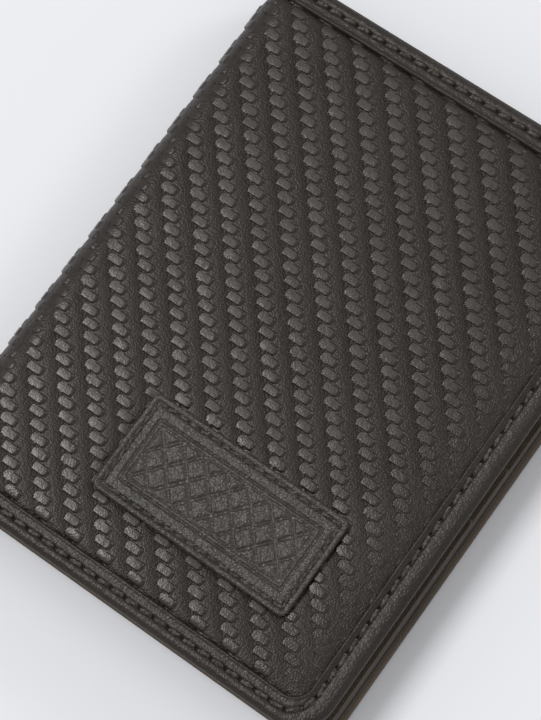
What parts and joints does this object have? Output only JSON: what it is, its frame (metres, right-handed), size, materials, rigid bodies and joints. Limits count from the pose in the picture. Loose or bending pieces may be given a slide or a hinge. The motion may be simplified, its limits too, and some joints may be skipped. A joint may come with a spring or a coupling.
{
  "type": "bifold wallet",
  "caption": "Portrait-format bifold leather wallet, closed: padded twill-embossed covers with a smooth stitched border, a stitched patch, card pockets and a note compartment inside.",
  "frame": {"origin": "centre of the base: the middle of the closed wallet's footprint, on the surface it lies on", "axes": "+X from the fold to the open edge, +Y up the wallet's height, +Z from the back cover's outer face to the front cover's"},
  "size_m": [0.098, 0.125, 0.0161],
  "materials": {
    "embossed_leather": "twill-embossed, semi-matt",
    "smooth_leather": "smooth fine grain, semi-matt",
    "patch_leather": "pebble grain, semi-matt",
    "inner_leather": "smooth fine grain, matt",
    "lining_cloth": "fine twill weave",
    "foam": "open-cell, matt",
    "board": "pressed fibre, matt",
    "thread": "twisted polyester",
    "window_film": "clear, glossy"
  },
  "bodies": {
    "back_cover": {"back_skin": "embossed_leather", "back_border": "smooth_leather", "back_padding": "foam", "back_board": "board", "back_lining": "lining_cloth", "back_divider": "lining_cloth", "back_panel": "inner_leather", "back_card_pocket_1": "inner_leather", "back_card_pocket_2": "inner_leather", "back_card_pocket_3": "inner_leather", "back_card_pocket_4": "inner_leather", "back_border_stitches": "thread", "back_pocket_stitches": "thread"},
    "spine_1": {"spine_skin_1": "embossed_leather", "spine_border_1": "smooth_leather", "spine_padding_1": "foam", "spine_lining_1": "lining_cloth", "spine_divider_1": "lining_cloth", "spine_stitches_1": "thread"},
    "spine_2": {"spine_skin_2": "embossed_leather", "spine_border_2": "smooth_leather", "spine_padding_2": "foam", "spine_lining_2": "lining_cloth", "spine_divider_2": "lining_cloth", "spine_stitches_2": "thread"},
    "spine_3": {"spine_skin_3": "embossed_leather", "spine_border_3": "smooth_leather", "spine_padding_3": "foam", "spine_lining_3": "lining_cloth", "spine_divider_3": "lining_cloth", "spine_stitches_3": "thread"},
    "front_cover": {"front_skin": "embossed_leather", "front_border": "smooth_leather", "front_padding": "foam", "front_board": "board", "front_lining": "lining_cloth", "front_divider": "lining_cloth", "front_panel": "inner_leather", "front_card_pocket_1": "inner_leather", "front_card_pocket_2": "inner_leather", "front_window_frame": "inner_leather", "front_window": "window_film", "front_border_stitches": "thread", "front_pocket_stitches": "thread", "patch": "patch_leather", "patch_stitches": "thread"}
  },
  "joints": [
    {"name": "fold_1", "type": "hinge", "parent": "back_cover", "child": "spine_1", "pos_m": [-0.04437, 0, 0.00057], "axis": [0, -1, 0], "range_deg": [0, 45]},
    {"name": "fold_2", "type": "hinge", "parent": "spine_1", "child": "spine_2", "pos_m": [-0.04843, 0, 0.00463], "axis": [0, -1, 0], "range_deg": [0, 45]},
    {"name": "fold_3", "type": "hinge", "parent": "spine_2", "child": "spine_3", "pos_m": [-0.04843, 0, 0.01037], "axis": [0, -1, 0], "range_deg": [0, 45]},
    {"name": "fold_4", "type": "hinge", "parent": "spine_3", "child": "front_cover", "pos_m": [-0.04437, 0, 0.01443], "axis": [0, -1, 0], "range_deg": [0, 45]}
  ],
  "couplings": [
    {"joint": "fold_1", "follows": "fold_4", "ratio": 1},
    {"joint": "fold_2", "follows": "fold_4", "ratio": 1},
    {"joint": "fold_3", "follows": "fold_4", "ratio": 1}
  ]
}
